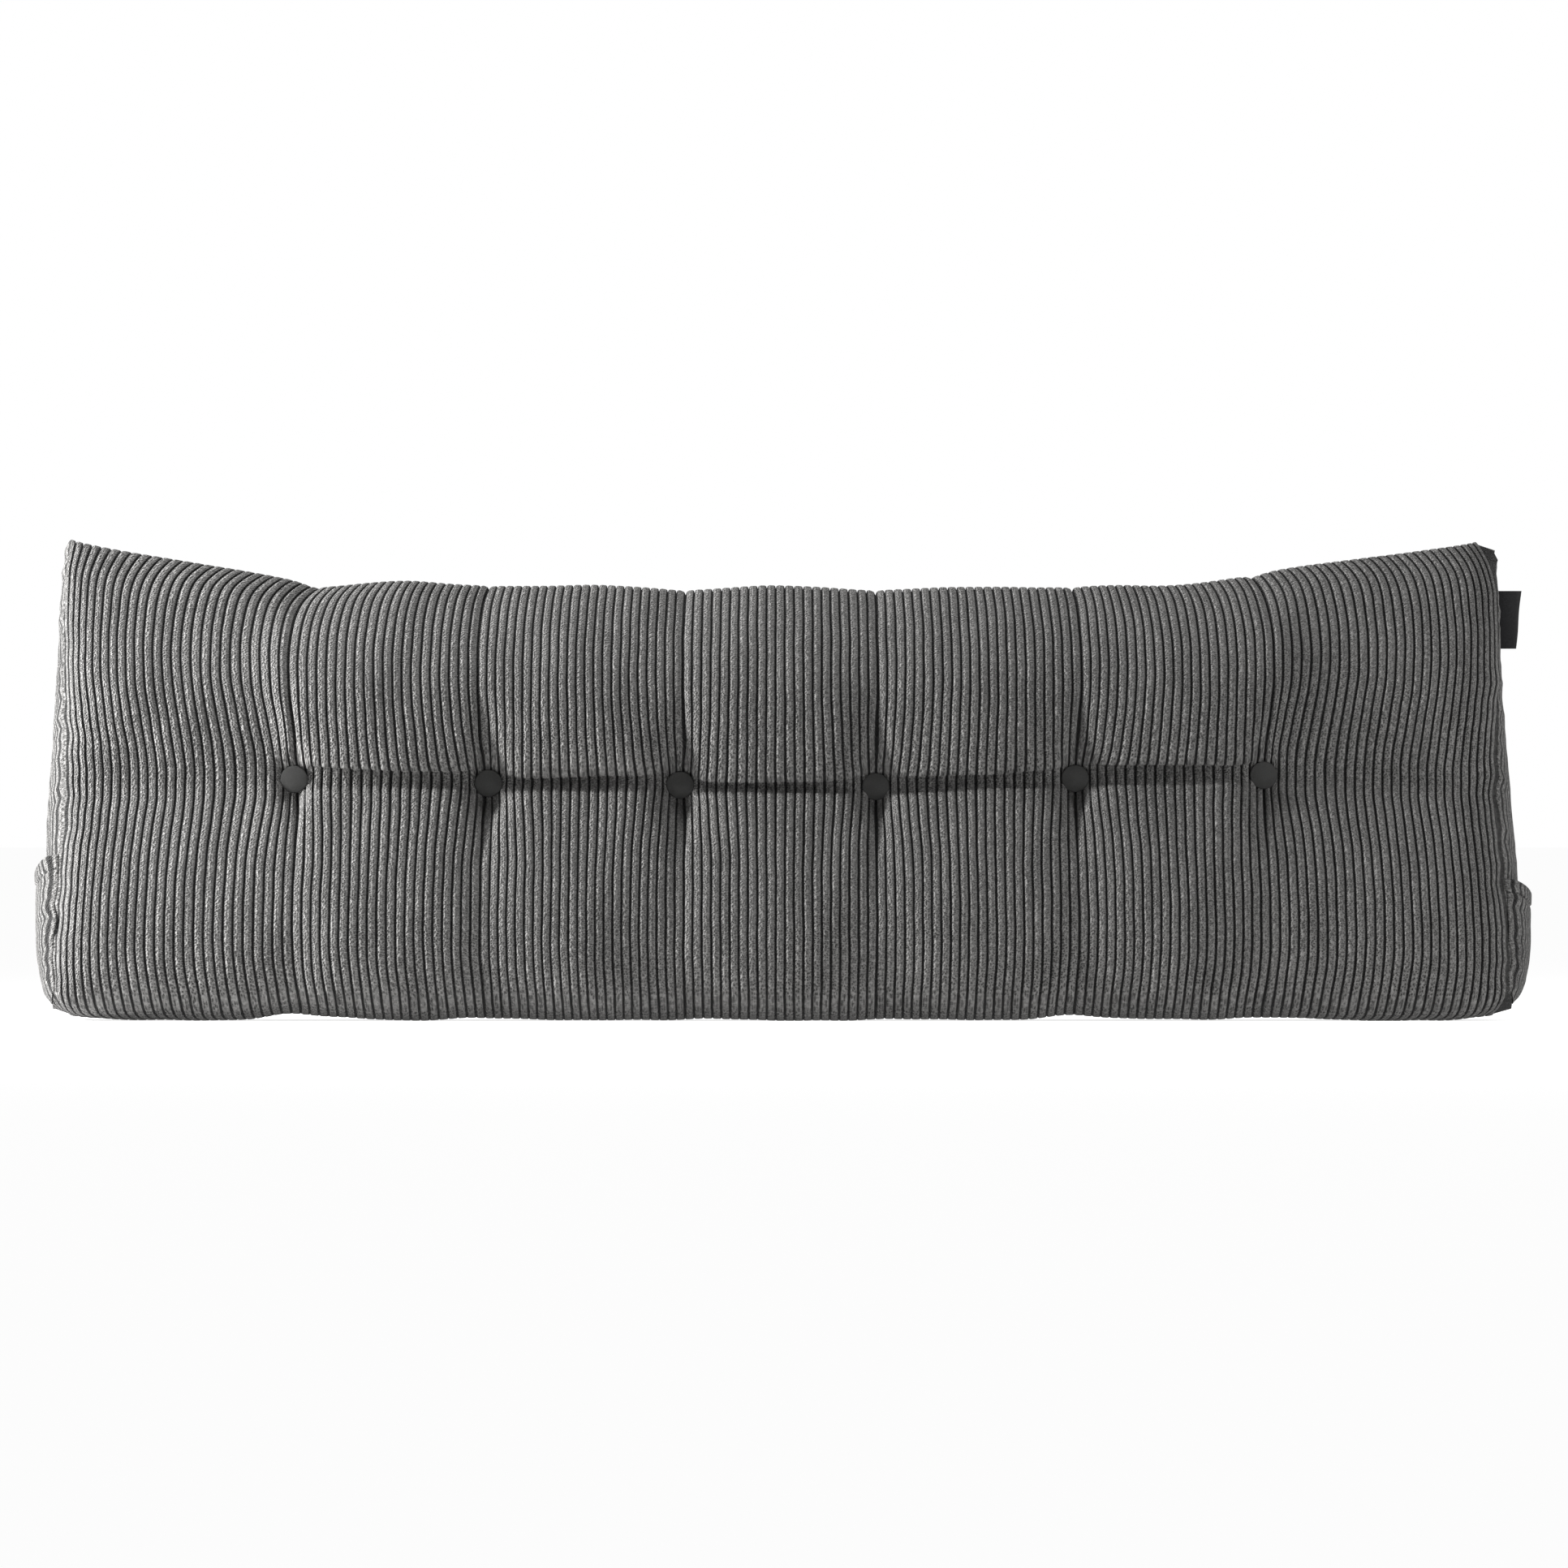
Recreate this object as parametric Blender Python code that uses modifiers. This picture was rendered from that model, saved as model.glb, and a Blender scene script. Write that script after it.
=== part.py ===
"""Wedge backrest pillow in wide corduroy: one filled cushion, six covered buttons, two side pockets, a plain tag.

Metres, +Z up. The pillow stands on its base, faces -Y, and its back would lean on a bed's head at +Y.
The cushion's skin is a loft: columns run along its length, two for each corduroy wale, and rows run round its section.
"""

import math
from collections import namedtuple

import bmesh
import bpy
import numpy as np
from mathutils import Vector

# Cloth
WALES = 160
WALE_DEPTH = 0.0022
WALE_PITCH = 0.00905
CLOTH = 0.0010
SEAT_GAP = 0.0004

# Plain panels, at the back and the base, have a column only at every fourth wale
PLAIN_STEP = 8

# Heights that the rows are drawn for, before each tuft and bay moves them
CREASE_Z = 0.240
CREST_Z = 0.434

# Tufting: how far the wales close in beside a button, and how far a bay stands out between two channels
PINCH = 0.22
PINCH_X = 0.034
PINCH_Z = 0.032
BAY_CROWN = 0.006
SWAY = 0.0014
SEAT_WING = 0.085

# Beyond the last tuft the front stays flat and turns back near the seam: the higher WING_TURN, the later.
# Its wales close in there by up to CROWD.
WING_TURN = 12.0
CROWD = 0.010

# The end panels' crown, on the triangle that their seams make
GUSSET_CROWN = 0.0175
FRONT_CORNER = (-0.215, 0.0)
BACK_CORNER = (0.002, 0.0)
TOP_CORNER = (-0.020, 0.482)

BUTTON_RADIUS = 0.0130
BUTTON_DOME = 0.0048
BUTTON_RIM = 0.0032

LABEL_WIDTH = 0.0240
LABEL_HEIGHT = 0.058
LABEL_THICK = 0.0010
LABEL_MIDDLE_Z = 0.4025
LABEL_Y = -0.0035

GREY = (0.135, 0.133, 0.130)
BUTTON_GREY = (0.060, 0.060, 0.058)
BLACK = (0.008, 0.008, 0.009)

# A tuft is a button with the channel that runs from it to the top and bottom edges.
# wale: where it sits, counted from the left seam. x and z: the button. crest_z: the top edge above it.
Tuft = namedtuple("Tuft", "wale x z crest_z")
TUFTS = [
    Tuft(25.5, -0.4900, 0.2424, 0.4370),
    Tuft(46.5, -0.2945, 0.2384, 0.4385),
    Tuft(68.5, -0.1017, 0.2367, 0.4345),
    Tuft(90.0, 0.0950, 0.2351, 0.4345),
    Tuft(112.0, 0.2955, 0.2432, 0.4365),
    Tuft(133.0, 0.4850, 0.2465, 0.4475),
]

# A bay is the puff between two tufts. lip_left and lip_right: how much lower its fold hangs there.
Bay = namedtuple("Bay", "crest_z lip_left lip_right overhang")
BAYS = [
    Bay(0.4430, -0.0040, -0.0030, 0.004),
    Bay(0.4392, 0.0040, -0.0035, -0.004),
    Bay(0.4388, 0.0070, 0.0010, 0.002),
    Bay(0.4372, 0.0010, -0.0020, 0.003),
    Bay(0.4380, -0.0050, -0.0030, 0.000),
]

# An ear is a top corner, whose wales lean in by this much where they cross the top edge.
Ear = namedtuple("Ear", "side lean")
EARS = [Ear(-1, 0.020), Ear(1, 0.011)]
EAR_MIDDLE = 0.54
EAR_SPREAD = 0.13

# One row of the section, from the base round the front and over the top to the back.
# seat: half the flat width under a button. width: a channel's. spread: how far the wales stand apart there,
# against the buttons' row. turn: how far they crowd towards the end seam. lean: share of the ears' lean.
# puff, channel and wing are (y, z) between two tufts, at a tuft, and beyond the last tuft.
# seam is (x, y, z) at the end panel, where x is half the length.
Row = namedtuple("Row", "name ribbed seat width spread turn lean puff channel wing seam")
ROWS = [
    Row("base_back", 0, 0, 0.012, -0.006, 0, 0, (-0.035, 0), (-0.035, 0), (-0.035, 0), (0.719, -0.035, 0)),
    Row("base_front", 0, 0, 0.012, -0.006, 0, 0, (-0.166, 0), (-0.166, 0), (-0.166, 0), (0.719, -0.166, 0)),
    Row("heel", 1, 0, 0.012, -0.006, 0.0015, 0,
        (-0.198, 0.006), (-0.194, 0.008), (-0.197, 0.006), (0.722, -0.190, 0.007)),
    Row("toe", 1, 0, 0.012, -0.001, 0.0020, 0,
        (-0.222, 0.026), (-0.216, 0.028), (-0.220, 0.026), (0.727, -0.209, 0.024)),
    Row("low_a", 1, 0, 0.012, 0.009, 0.0045, 0,
        (-0.228, 0.062), (-0.2225, 0.063), (-0.225, 0.062), (0.728, -0.199, 0.061)),
    Row("low_b", 1, 0, 0.011, 0.010, 0.0057, 0,
        (-0.219, 0.115), (-0.2125, 0.115), (-0.212, 0.117), (0.725, -0.178, 0.116)),
    Row("low_c", 1, 0, 0.011, 0.006, 0.0057, 0,
        (-0.198, 0.166), (-0.190, 0.166), (-0.187, 0.168), (0.721, -0.156, 0.167)),
    Row("shoulder", 1, 0.002, 0.012, 0, 0.0040, 0,
        (-0.172, 0.208), (-0.158, 0.205), (-0.160, 0.203), (0.718, -0.139, 0.204)),
    Row("ledge", 1, 0.0155, 0.010, 0, 0.0030, 0,
        (-0.152, 0.2240), (-0.1280, 0.2230), (-0.146, 0.222), (0.717, -0.131, 0.221)),
    Row("recess", 1, 0.0155, 0.010, 0, 0.0030, 0,
        (-0.133, 0.2330), (-0.1280, 0.2400), (-0.138, 0.238), (0.717, -0.126, 0.237)),
    Row("under_lip", 1, 0.0155, 0.010, 0, 0.0030, 0,
        (-0.134, 0.2490), (-0.1280, 0.2560), (-0.138, 0.254), (0.717, -0.121, 0.253)),
    Row("lip", 1, 0.004, 0.012, 0.002, 0.0030, 0,
        (-0.154, 0.2465), (-0.139, 0.2680), (-0.139, 0.271), (0.718, -0.117, 0.270)),
    Row("up_a", 1, 0, 0.014, 0.011, 0.0070, 0,
        (-0.162, 0.2820), (-0.149, 0.2920), (-0.138, 0.302), (0.720, -0.106, 0.301)),
    Row("up_b", 1, 0, 0.017, 0.021, 0.0093, 0,
        (-0.146, 0.335), (-0.137, 0.341), (-0.125, 0.347), (0.722, -0.089, 0.346)),
    Row("brow", 1, 0, 0.017, 0.018, 0.0095, 0,
        (-0.109, 0.385), (-0.103, 0.388), (-0.094, 0.393), (0.723, -0.067, 0.402)),
    Row("crest_front", 1, 0, 0.015, 0.007, 0.0080, 0.3,
        (-0.069, 0.420), (-0.064, 0.4205), (-0.062, 0.427), (0.721, -0.047, 0.455)),
    Row("crest", 1, 0, 0.012, -0.002, 0.0040, 1,
        (-0.040, 0.434), (-0.037, 0.4330), (-0.038, 0.4400), (0.708, -0.028, 0.482)),
    Row("nape", 1, 0, 0.012, -0.002, 0.0030, 1,
        (-0.010, 0.420), (-0.010, 0.4190), (-0.010, 0.4275), (0.712, -0.008, 0.467)),
    Row("back_a", 0, 0, 0.012, 0, 0, 0.3, (0.005, 0.365), (0.005, 0.365), (0.005, 0.365), (0.719, -0.001, 0.380)),
    Row("back_b", 0, 0, 0.012, 0, 0, 0, (0.012, 0.290), (0.012, 0.290), (0.012, 0.290), (0.721, 0.000, 0.295)),
    Row("back_c", 0, 0, 0.012, 0, 0, 0, (0.012, 0.120), (0.012, 0.120), (0.012, 0.120), (0.724, 0.000, 0.120)),
    Row("back_d", 0, 0, 0.012, 0, 0, 0, (0.005, 0.045), (0.005, 0.045), (0.005, 0.045), (0.724, -0.001, 0.045)),
    Row("back_heel", 0, 0, 0.012, 0, 0, 0,
        (-0.013, 0.008), (-0.013, 0.008), (-0.013, 0.008), (0.721, -0.012, 0.010)),
]
FRONT = [row for row in ROWS if row.ribbed]

# side: -1 left, 1 right. The mouth is mouth_z high at its ends and hangs lower by sag in the middle.
Pocket = namedtuple("Pocket", "name side mouth_z sag stand_off")
POCKETS = [
    Pocket("pocket_left", -1, 0.168, 0.018, 0.0072),
    Pocket("pocket_right", 1, 0.146, 0.012, 0.0076),
]
POCKET_BOTTOM = 0.017
POCKET_BACK = -0.0085
POCKET_FRONT = -0.2000


def clear_scene():
    for obj in list(bpy.data.objects):
        bpy.data.objects.remove(obj)


def fabric(name, colour, roughness):
    material = bpy.data.materials.new(name)
    material.use_nodes = True
    shader = material.node_tree.nodes["Principled BSDF"]
    shader.inputs["Base Color"].default_value = (*colour, 1)
    shader.inputs["Roughness"].default_value = roughness
    shader.inputs["Metallic"].default_value = 0
    return material


def level(z):
    """-1 at the base, 0 at the crease, 1 at the crest."""
    return np.where(z < CREASE_Z, z / CREASE_Z - 1, (z - CREASE_Z) / (CREST_Z - CREASE_Z))


def between_tufts(u):
    """(bay number, share of the way across it, how far along an end panel's wing), for wale places u."""
    marks = np.array([t.wale for t in TUFTS])
    bay = np.clip(np.searchsorted(marks, u, side="right") - 1, 0, len(BAYS) - 1)
    share = np.clip((u - marks[bay]) / (marks[bay + 1] - marks[bay]), 0, 1)
    left = np.clip((marks[0] - u) / marks[0], 0, 1)
    right = np.clip((u - marks[-1]) / (WALES - marks[-1]), 0, 1)
    return bay, share, left + right


def column_x(u, row):
    """(x of each column in this row, its distance from the nearest tuft's channel)."""
    tufts = np.array([t.x for t in TUFTS]) * (1 + row.spread)
    marks = np.array([0.0, *(t.wale for t in TUFTS), WALES])
    line = np.interp(u, marks, [-row.seam[0], *tufts, row.seam[0]])
    wing = between_tufts(u)[2]
    line = line + np.sign(line) * row.turn * np.sin(math.pi * wing**1.3)
    line = line + np.sign(line) * CROWD * (wing - wing**WING_TURN) * row.ribbed
    away = line - tufts[np.abs(line[:, None] - tufts).argmin(axis=1)]
    height = (row.puff[1] - CREASE_Z) / PINCH_Z
    line = line - PINCH * away * np.exp(-((away / PINCH_X) ** 2) / 2 - height**2 / 2)
    for ear in EARS:
        reach = np.exp(-(((ear.side * line - EAR_MIDDLE) / EAR_SPREAD) ** 2) / 2)
        line = line - ear.side * ear.lean * row.lean * reach
    return line, np.abs(away)


def row_points(u, row):
    """The row's smooth points at wale places u, as an array of (x, y, z)."""
    x, away = column_x(u, row)
    bay, share, wing = between_tufts(u)
    beyond = np.maximum(away - row.seat, 0)
    channel = 1 / (1 + (beyond / row.width) ** 2)
    fade = np.clip((wing - SEAT_WING) / (1 - SEAT_WING), 0, 1)
    channel = (channel * (1 - fade) ** 2)[:, None]
    to_seam = np.column_stack([wing**WING_TURN, wing])
    side = np.array(row.wing) + (np.array(row.seam[1:]) - np.array(row.wing)) * to_seam
    full = np.where(wing[:, None] > 0, side, np.array(row.puff))
    yz = full + (np.array(row.channel) - full) * channel
    if not row.ribbed:
        return np.column_stack([x, yz])

    row_level = float(level(row.puff[1]))
    marks = [t.wale for t in TUFTS]
    inner = 1 - wing
    tuft_crest = np.interp(u, marks, [t.crest_z for t in TUFTS]) - CREST_Z
    bay_crest = np.array([b.crest_z for b in BAYS])[bay] - CREST_Z
    hump = np.sin(math.pi * share) ** 2
    crest_move = (tuft_crest + (bay_crest - tuft_crest) * hump) * inner
    crease_move = (np.interp(u, marks, [t.z for t in TUFTS]) - CREASE_Z) * inner
    bell = math.exp(-((row_level / 0.45) ** 2) / 2)
    yz[:, 1] += crest_move * max(row_level, 0) ** 2 + crease_move * bell

    free = (wing == 0) * (1 - channel[:, 0])
    if row.name in ("under_lip", "lip"):
        left = np.array([b.lip_left for b in BAYS])[bay]
        right = np.array([b.lip_right for b in BAYS])[bay]
        overhang = np.array([b.overhang for b in BAYS])[bay]
        yz[:, 1] -= (left + (right - left) * share) * free
        yz[:, 0] -= overhang * free * hump**0.5
    sway = np.sin(u * 0.37 + row_level * 5) * np.sin(u * 0.11 + 1)
    rise = BAY_CROWN * (np.sin(math.pi * share) - 0.6) * free * min(1, abs(row_level) * 3)
    yz[:, 0] += SWAY * sway * (1 - wing**2) * (1 - channel[:, 0]) - rise * (1 - max(row_level, 0) ** 4)
    return np.column_stack([x, yz])


def outward(points):
    """Unit normals of a grid of points[row, column], where rows go round and columns go along +X."""
    along = np.gradient(points, axis=1)
    padded = np.concatenate([points[-1:], points, points[:1]])
    round_it = (padded[2:] - padded[:-2]) / 2
    normal = np.cross(along, round_it)
    return normal / np.linalg.norm(normal, axis=2, keepdims=True)


def add_grid(bm, points, wrap=False, flip=False):
    """Joins points[row, column] with quads. The faces look along columns x rows. Returns the vertices."""
    verts = [[bm.verts.new(p) for p in line] for line in points]
    rows = len(verts) if wrap else len(verts) - 1
    for i in range(rows):
        low, high = verts[i], verts[(i + 1) % len(verts)]
        for k in range(len(low) - 1):
            corners = (low[k], low[k + 1], high[k + 1], high[k])
            bm.faces.new(corners[::-1] if flip else corners)
    return verts


def loop_edges(bm, loop):
    """The edges of a closed loop of vertices, made where they are missing."""
    edges = []
    for a, b in zip(loop, loop[1:] + loop[:1]):
        if a is not b:
            edges.append(bm.edges.get((a, b)) or bm.edges.new((a, b)))
    return edges


def crown(y, z):
    """How far an end panel stands out, from its place in the triangle of its seams."""
    (ay, az), (by, bz), (ty, tz) = FRONT_CORNER, BACK_CORNER, TOP_CORNER
    area = (by - ay) * (tz - az) - (ty - ay) * (bz - az)
    back = ((y - ay) * (tz - az) - (ty - ay) * (z - az)) / area
    top = ((by - ay) * (z - az) - (y - ay) * (bz - az)) / area
    front = 1 - back - top
    share = 27 * np.clip(front, 0, 1) * np.clip(back, 0, 1) * np.clip(top, 0, 1)
    return GUSSET_CROWN * share


def seam_x(z):
    front = FRONT[1:-2]
    return np.interp(z, [r.seam[2] for r in front], [r.seam[0] for r in front])


def end_x(y, z):
    """Half the length at a point of an end panel."""
    return seam_x(z) + crown(y, z)


def back_seam_x(z):
    """Half the length where the top of the back meets an end panel."""
    back = [row for row in ROWS if row.name in ("back_a", "nape")]
    return np.interp(z, [r.seam[2] for r in back[::-1]], [r.seam[0] for r in back[::-1]])


def front_seam_z(y):
    """The height at which the front seam passes depth y."""
    front = FRONT[1:-1]
    return np.interp(y, [r.seam[1] for r in front], [r.seam[2] for r in front])


def front_seam_y(z):
    front = FRONT[1:-1]
    return np.interp(z, [r.seam[2] for r in front], [r.seam[1] for r in front])


def wale_columns(start, end):
    """Places half a wale apart between start and end, with whether each is a ridge."""
    count = int(round((end - start) / (WALE_PITCH / 2)))
    count -= count % 2
    places = np.linspace(start, end, count + 1)
    return places, np.arange(count + 1) % 2 == 1


def end_panel(bm, ring, side):
    """Fills one end of the loft with a crowned panel whose wales stand upright."""
    inset = 0.010
    y, ridge = wale_columns(-0.192, -0.014)
    low = np.full_like(y, 0.013)
    high = np.minimum(front_seam_z(y) - 2.2 * inset, 0.445)
    grid = []
    for share in (0, 0.14, 0.32, 0.52, 0.76, 1):
        z = low + (high - low) * share
        x = side * (end_x(y, z) - np.where(ridge, 0, WALE_DEPTH))
        grid.append(np.column_stack([x, y, z]))
    verts = add_grid(bm, grid, flip=side < 0)
    rim = verts[0] + [row[-1] for row in verts[1:-1]] + verts[-1][::-1] + [row[0] for row in verts[-2:0:-1]]
    edges = loop_edges(bm, ring) + loop_edges(bm, rim)
    bmesh.ops.triangle_fill(bm, use_beauty=True, use_dissolve=False, edges=edges, normal=(side, 0, 0))


def cushion_mesh():
    """The filled cushion: the loft round its section, closed by two end panels."""
    columns = np.arange(2 * WALES + 1)
    smooth = np.array([row_points(columns / 2, row) for row in ROWS])
    normal = outward(smooth)
    groove = (columns % 2 == 0) * WALE_DEPTH
    snapped = np.round(columns / PLAIN_STEP).astype(int) * PLAIN_STEP
    points = smooth.copy()
    for i, row in enumerate(ROWS):
        if row.ribbed:
            points[i] -= normal[i] * groove[:, None]
        else:
            points[i] = smooth[i][snapped]
    bm = bmesh.new()
    verts = add_grid(bm, points, wrap=True)
    for side, k in ((-1, 0), (1, -1)):
        end_panel(bm, [line[k] for line in verts], side)
    bmesh.ops.remove_doubles(bm, verts=bm.verts, dist=1e-6)
    bmesh.ops.recalc_face_normals(bm, faces=bm.faces)
    mesh = bpy.data.meshes.new("cushion")
    bm.to_mesh(mesh)
    bm.free()
    return mesh


def add_object(name, mesh, material, collection):
    obj = bpy.data.objects.new(name, mesh)
    obj.data.materials.append(material)
    collection.objects.link(obj)
    return obj


def add_cushion(collection, material):
    obj = add_object("cushion", cushion_mesh(), material, collection)
    obj.data.shade_smooth()
    obj.data.set_sharp_from_angle(angle=math.radians(60))
    return obj


def add_button(name, tuft, material, collection):
    """A turned, cloth-covered button whose back lies on the flat seat of its tuft."""
    steps = 5
    profile = [(BUTTON_RADIUS - 0.0008, 0), (BUTTON_RADIUS, 0.0010), (BUTTON_RADIUS, BUTTON_RIM)]
    for i in range(1, steps + 1):
        angle = math.pi / 2 * i / steps
        profile.append((BUTTON_RADIUS * math.cos(angle), BUTTON_RIM + BUTTON_DOME * math.sin(angle)))
    profile[-1] = (0, BUTTON_RIM + BUTTON_DOME)
    bm = bmesh.new()
    verts = [bm.verts.new((r, 0, h)) for r, h in [(0, 0), *profile][::-1]]
    for a, b in zip(verts, verts[1:]):
        bm.edges.new((a, b))
    mesh = bpy.data.meshes.new(name)
    bm.to_mesh(mesh)
    bm.free()
    obj = add_object(name, mesh, material, collection)
    turn = obj.modifiers.new("turn", "SCREW")
    turn.steps = turn.render_steps = 22
    turn.use_merge_vertices = True
    turn.merge_threshold = 0.00005
    turn.use_smooth_shade = True
    seat = next(row for row in ROWS if row.name == "recess").channel
    forward = Vector((0, -1, 0))
    obj.location = Vector((tuft.x, seat[0], tuft.z)) + forward * SEAT_GAP
    obj.rotation_euler = forward.to_track_quat("Z", "Y").to_euler()
    return obj


def mouth_z(pocket, y):
    across = np.clip((y - front_seam_y(pocket.mouth_z)) / (POCKET_BACK - front_seam_y(pocket.mouth_z)), 0, 1)
    return pocket.mouth_z - pocket.sag * np.sin(math.pi * across)


def stand_off(pocket, y, z):
    """The hollow between the pocket's cloth and the end panel: none at the sewn edges, full at the mouth."""
    from_front = np.clip(y - front_seam_y(z) - 0.004, 0, 1)
    from_back = np.clip(POCKET_BACK - y, 0, 1)
    from_bottom = np.clip(z - POCKET_BOTTOM, 0, 1)
    full = (1 - np.exp(-from_front / 0.018)) * (1 - np.exp(-from_back / 0.018))
    return pocket.stand_off * full * (1 - np.exp(-from_bottom / 0.030))


def add_pocket(pocket, material, collection):
    """A sheet of corduroy with upright wales, sewn down on three edges and open at the top."""
    y, ridge = wale_columns(POCKET_FRONT, POCKET_BACK)
    top = np.minimum(mouth_z(pocket, y), front_seam_z(y) - 0.006)
    grid = []
    for share in (0, 0.12, 0.3, 0.5, 0.7, 0.88, 1):
        z = POCKET_BOTTOM + (top - POCKET_BOTTOM) * share
        thick = CLOTH + WALE_DEPTH * ridge
        x = end_x(y, z) + SEAT_GAP + stand_off(pocket, y, z) + thick
        grid.append(np.column_stack([pocket.side * x, y, z]))
    bm = bmesh.new()
    verts = add_grid(bm, grid, flip=pocket.side < 0)
    bm.verts.index_update()
    ridges = [line[k].index for line in verts for k in np.flatnonzero(ridge)]
    mesh = bpy.data.meshes.new(pocket.name)
    bm.to_mesh(mesh)
    bm.free()
    obj = add_object(pocket.name, mesh, material, collection)
    obj.vertex_groups.new(name="wales").add(ridges, 1, "REPLACE")
    shell = obj.modifiers.new("cloth", "SOLIDIFY")
    shell.thickness = CLOTH + WALE_DEPTH
    shell.offset = -1
    shell.vertex_group = "wales"
    shell.thickness_vertex_group = CLOTH / shell.thickness
    return obj


def add_label(material, collection):
    """A plain folded tag, sewn by its short side into the seam of the right end panel and the back."""
    root = back_seam_x(LABEL_MIDDLE_Z) + 3 * SEAT_GAP
    lean = back_seam_x(LABEL_MIDDLE_Z + LABEL_HEIGHT / 2) - back_seam_x(LABEL_MIDDLE_Z - LABEL_HEIGHT / 2)
    bm = bmesh.new()
    grid = []
    for across in np.linspace(0, 1, 5):
        x = across * LABEL_WIDTH
        bend = 0.0012 * math.sin(math.pi * across)
        grid.append([(x, -bend, z) for z in (LABEL_HEIGHT / 2, 0, -LABEL_HEIGHT / 2)])
    add_grid(bm, grid)
    mesh = bpy.data.meshes.new("label")
    bm.to_mesh(mesh)
    bm.free()
    obj = add_object("label", mesh, material, collection)
    tape = obj.modifiers.new("tape", "SOLIDIFY")
    tape.thickness = LABEL_THICK
    tape.offset = 0
    obj.location = (root, LABEL_Y, LABEL_MIDDLE_Z)
    obj.rotation_euler = (0, math.atan2(lean, LABEL_HEIGHT), 0)
    return obj


def centre_part(objects):
    """Moves the part so that its box is centred on X and Y. Its base is already at z = 0."""
    bpy.context.view_layer.update()
    graph = bpy.context.evaluated_depsgraph_get()
    places = []
    for obj in objects:
        shown = obj.evaluated_get(graph)
        places += [(shown.matrix_world @ v.co).to_2d() for v in shown.data.vertices]
    for axis in (0, 1):
        values = [place[axis] for place in places]
        middle = (min(values) + max(values)) / 2
        for obj in objects:
            obj.location[axis] -= middle


def main():
    clear_scene()
    collection = bpy.data.collections.new("wedge_backrest_pillow")
    bpy.context.scene.collection.children.link(collection)
    corduroy = fabric("corduroy", GREY, 0.95)
    button_cloth = fabric("button_cloth", BUTTON_GREY, 0.9)
    tape = fabric("tape", BLACK, 0.8)
    objects = [add_cushion(collection, corduroy)]
    for number, tuft in enumerate(TUFTS, 1):
        objects.append(add_button(f"button_{number}", tuft, button_cloth, collection))
    for pocket in POCKETS:
        objects.append(add_pocket(pocket, corduroy, collection))
    objects.append(add_label(tape, collection))
    centre_part(objects)


main()
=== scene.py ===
"""Looks of the wedge backrest pillow: its corduroy cover, covered buttons, end pockets and plain tag."""

import math
from collections import namedtuple

import bmesh
import bpy
import numpy as np
from mathutils import Matrix, Vector


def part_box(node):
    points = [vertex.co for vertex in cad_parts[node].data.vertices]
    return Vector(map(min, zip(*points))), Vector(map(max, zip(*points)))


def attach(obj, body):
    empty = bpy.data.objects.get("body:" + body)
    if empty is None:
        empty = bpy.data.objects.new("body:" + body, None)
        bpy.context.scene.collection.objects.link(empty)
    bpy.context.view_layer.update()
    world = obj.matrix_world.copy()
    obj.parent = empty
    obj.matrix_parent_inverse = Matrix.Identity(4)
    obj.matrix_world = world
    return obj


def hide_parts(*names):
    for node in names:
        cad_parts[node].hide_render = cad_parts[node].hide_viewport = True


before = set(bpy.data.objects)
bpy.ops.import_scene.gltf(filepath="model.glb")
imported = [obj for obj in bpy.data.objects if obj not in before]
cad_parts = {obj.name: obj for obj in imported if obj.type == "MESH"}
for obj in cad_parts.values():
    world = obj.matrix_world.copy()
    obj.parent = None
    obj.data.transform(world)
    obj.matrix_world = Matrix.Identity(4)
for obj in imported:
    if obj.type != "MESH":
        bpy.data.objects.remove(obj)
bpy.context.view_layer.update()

# The photograph: metres a pixel, and the pixel where the cushion's middle meets its base
PHOTO_PIXELS = 1932
PIXEL = 0.000817
PHOTO_X = 963
PHOTO_BASE = 1257
CAMERA_DISTANCE = 22.0

# Corduroy. A wale's columns stand at these shares of its width, from groove to groove.
WALES = 160
WALE_HEIGHT = 0.0033
WALE_PITCH = 0.00905
WALE_SHARES = (0.0, 0.075, 0.20, 0.38, 0.82, 0.935)
WALE_ROUND = 4.0
CLOTH = 0.0014
LAYERS = ("wale", "painted_end_shade", "below_mouth")

# Heights that the rows are drawn for, before each tuft and bay moves them, and the depth of the flat back
CREASE_Z = 0.240
CREST_Z = 0.434
BACK_Y = 0.012

# Tufting: PINCH is how far the wales close in beside a button, within PINCH_X and PINCH_Z of it.
# BAY_CROWN is how far a bay stands out between two channels. A channel fades over SEAT_WING of an end's wing.
PINCH = 0.24
PINCH_X = 0.034
PINCH_Z = 0.032
BAY_CROWN = 0.004
SWAY = 0.0014
SEAT_WING = 0.070

# A tuft's fold: half its width in wales, and how steep its sides are
FOLD_WALES = 0.36
FOLD_STEEP = 1.6

# Unevenness of the front: how far it stands in and out, how far the wales wander sideways, and the sizes
# of both along X and Z. They fade out over FRONT_FADE of depth, behind the front.
WRINKLE = 0.0009
WRINKLE_SIZES = [(0.16, 0.22), (0.09, 0.30), (0.06, 0.12)]
WANDER = 0.0004
WANDER_SIZES = [(0.05, 0.12), (0.11, 0.07)]
FRONT_FADE = 0.03

# Gathers of the front seam: how deep, over how many wales, and their wavelengths along and across
GATHER = 0.0010
GATHER_WALES = 3.4
GATHER_SLANT = 0.0011
GATHERS_ALONG = (0.031, 0.047, 0.083)
GATHERS_DEEP = (0.037, 0.059)

# Ripples of an end panel beside the front seam: how deep, how far in they reach, and their wavelengths
END_RIPPLE = 0.0016
END_RIPPLE_REACH = 0.030
END_RIPPLES = (0.027, 0.041, 0.019)
END_GATHER_REACH = 0.016

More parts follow.
